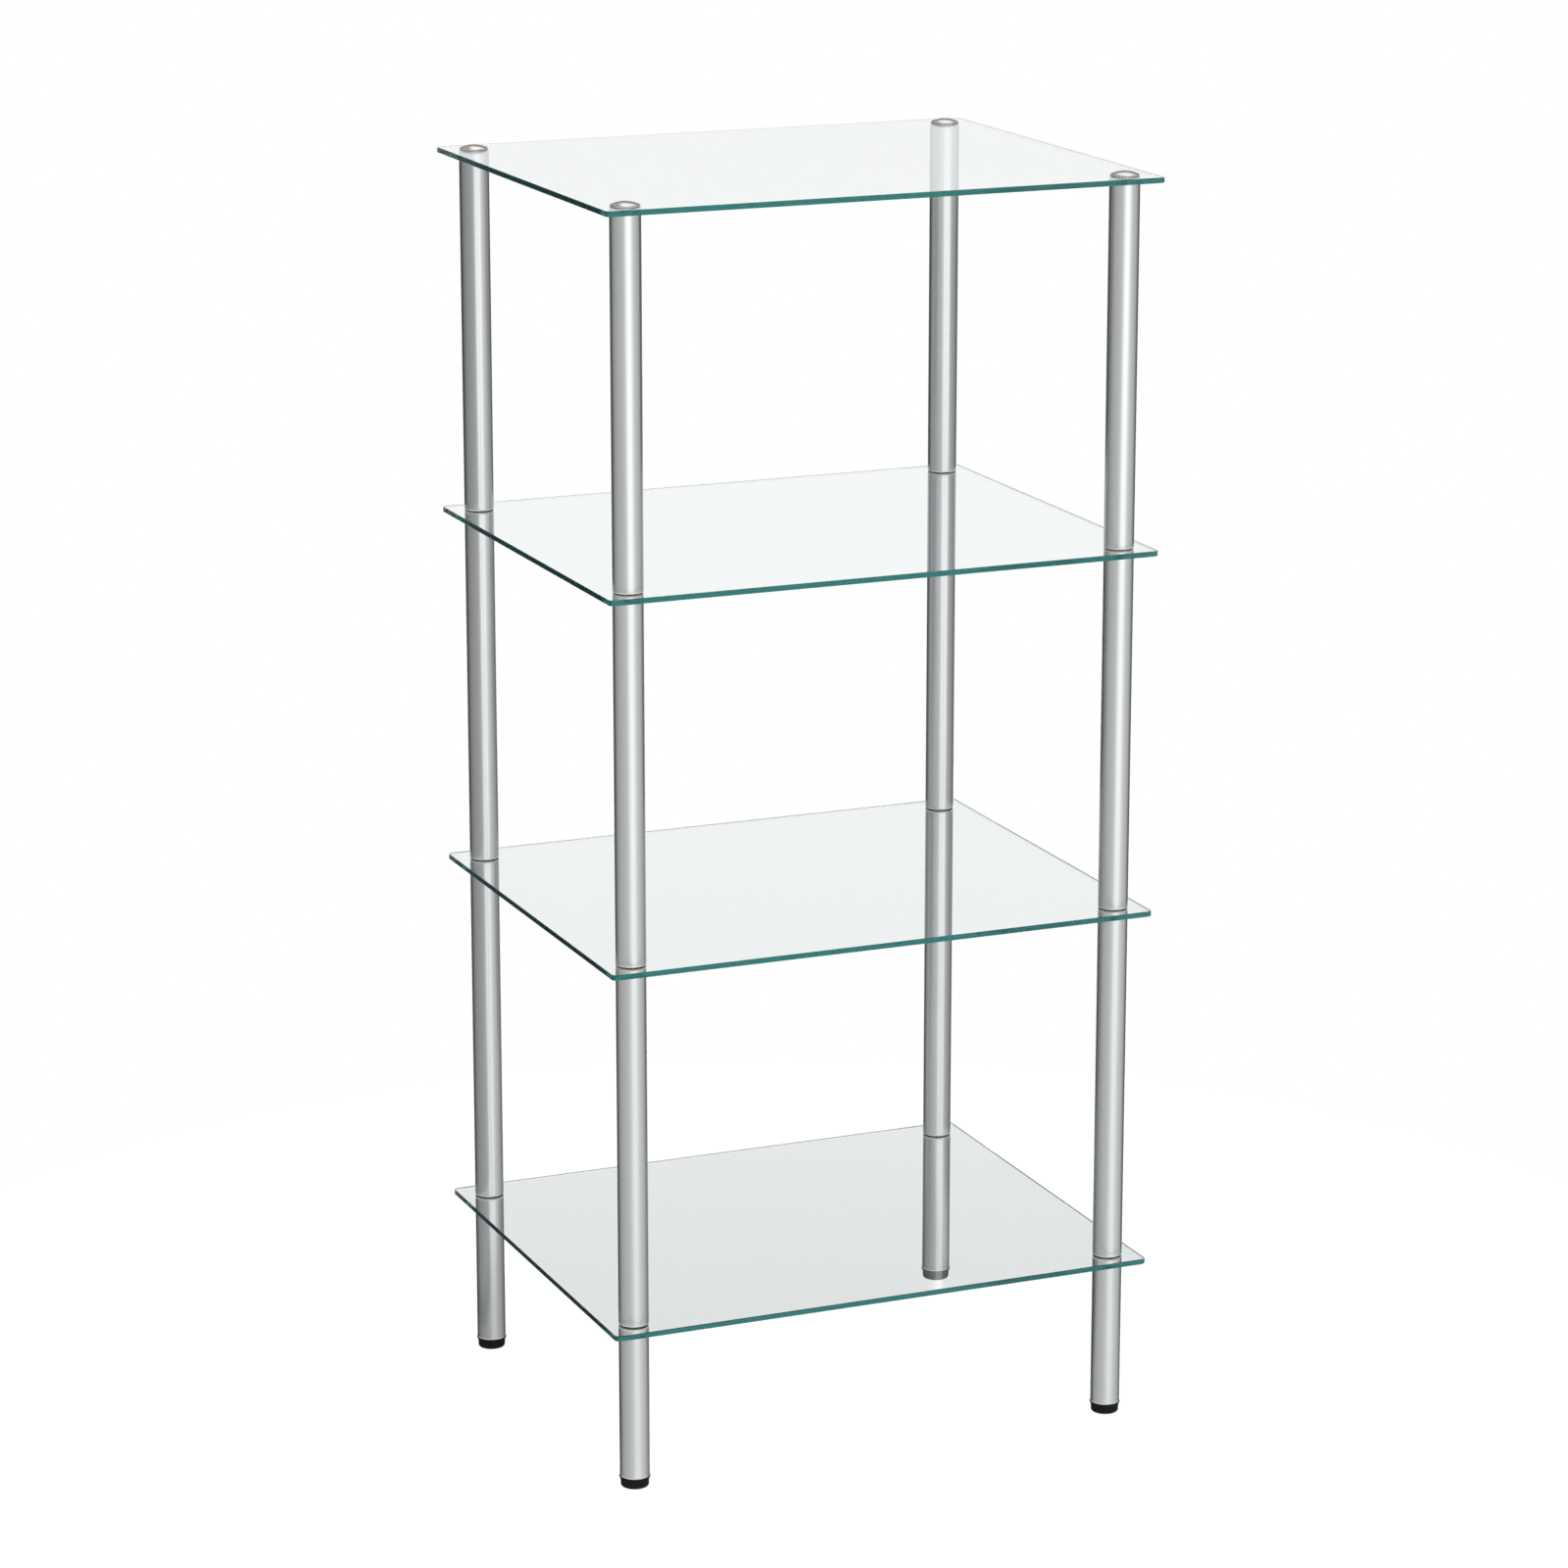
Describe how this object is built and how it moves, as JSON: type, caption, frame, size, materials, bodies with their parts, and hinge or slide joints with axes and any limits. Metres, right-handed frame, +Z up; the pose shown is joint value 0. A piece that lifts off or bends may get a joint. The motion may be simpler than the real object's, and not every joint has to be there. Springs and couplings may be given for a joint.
{
  "type": "glass bathroom etagere",
  "caption": "Open free-standing glass shelf unit: clear plates on corner columns of silver tube, with polished caps and black levelling feet.",
  "frame": {"origin": "on the floor, midway between the four feet", "axes": "+Z up the columns, +X along the shelves' long edges, -Y towards the front"},
  "size_m": [0.424, 0.352, 0.9384],
  "materials": {
    "glass": "clear float glass with polished green edges",
    "silver_tube": "satin silver coating",
    "polished_cap": "polished plating, slightly warm",
    "black_foot": "moulded, fine grain",
    "washer_rubber": "soft, matt",
    "natural_nylon": "milky, slightly translucent",
    "tinted_nylon": "sea green, like the glass edge",
    "thread_steel": "zinc plated"
  },
  "bodies": {
    "frame": {"bottom_shelf": "glass", "bottom_shelf_washers": "washer_rubber", "bottom_shelf_sleeves": "tinted_nylon", "lower_shelf": "glass", "lower_shelf_washers": "washer_rubber", "lower_shelf_sleeves": "tinted_nylon", "upper_shelf": "glass", "upper_shelf_washers": "washer_rubber", "upper_shelf_sleeves": "tinted_nylon", "top_shelf": "glass", "top_shelf_washers": "washer_rubber", "top_shelf_sleeves": "tinted_nylon", "lower_upright_washers": "washer_rubber", "middle_upright_washers": "washer_rubber", "upper_upright_washers": "washer_rubber", "cap_washers": "natural_nylon", "bottom_shelf_studs": "thread_steel", "lower_shelf_studs": "thread_steel", "upper_shelf_studs": "thread_steel", "leg_front_left": "silver_tube", "leg_front_right": "silver_tube", "leg_back_left": "silver_tube", "leg_back_right": "silver_tube", "leg_bottom_inserts": "thread_steel", "leg_top_inserts": "thread_steel", "lower_upright_front_left": "silver_tube", "lower_upright_front_right": "silver_tube", "lower_upright_back_left": "silver_tube", "lower_upright_back_right": "silver_tube", "lower_upright_bottom_inserts": "thread_steel", "lower_upright_top_inserts": "thread_steel", "middle_upright_front_left": "silver_tube", "middle_upright_front_right": "silver_tube", "middle_upright_back_left": "silver_tube", "middle_upright_back_right": "silver_tube", "middle_upright_bottom_inserts": "thread_steel", "middle_upright_top_inserts": "thread_steel", "upper_upright_front_left": "silver_tube", "upper_upright_front_right": "silver_tube", "upper_upright_back_left": "silver_tube", "upper_upright_back_right": "silver_tube", "upper_upright_bottom_inserts": "thread_steel", "upper_upright_top_inserts": "thread_steel", "cap_front_left": "polished_cap", "cap_front_right": "polished_cap", "cap_back_left": "polished_cap", "cap_back_right": "polished_cap"},
    "front_left_foot": {"foot_front_left": "black_foot", "foot_stem_front_left": "thread_steel"},
    "front_right_foot": {"foot_front_right": "black_foot", "foot_stem_front_right": "thread_steel"},
    "back_left_foot": {"foot_back_left": "black_foot", "foot_stem_back_left": "thread_steel"},
    "back_right_foot": {"foot_back_right": "black_foot", "foot_stem_back_right": "thread_steel"}
  },
  "joints": [
    {"name": "front_left_foot_height", "type": "slide", "parent": "frame", "child": "front_left_foot", "axis": [0, 0, -1], "range_m": [0, 0.008]},
    {"name": "front_right_foot_height", "type": "slide", "parent": "frame", "child": "front_right_foot", "axis": [0, 0, -1], "range_m": [0, 0.008]},
    {"name": "back_left_foot_height", "type": "slide", "parent": "frame", "child": "back_left_foot", "axis": [0, 0, -1], "range_m": [0, 0.008]},
    {"name": "back_right_foot_height", "type": "slide", "parent": "frame", "child": "back_right_foot", "axis": [0, 0, -1], "range_m": [0, 0.008]}
  ]
}
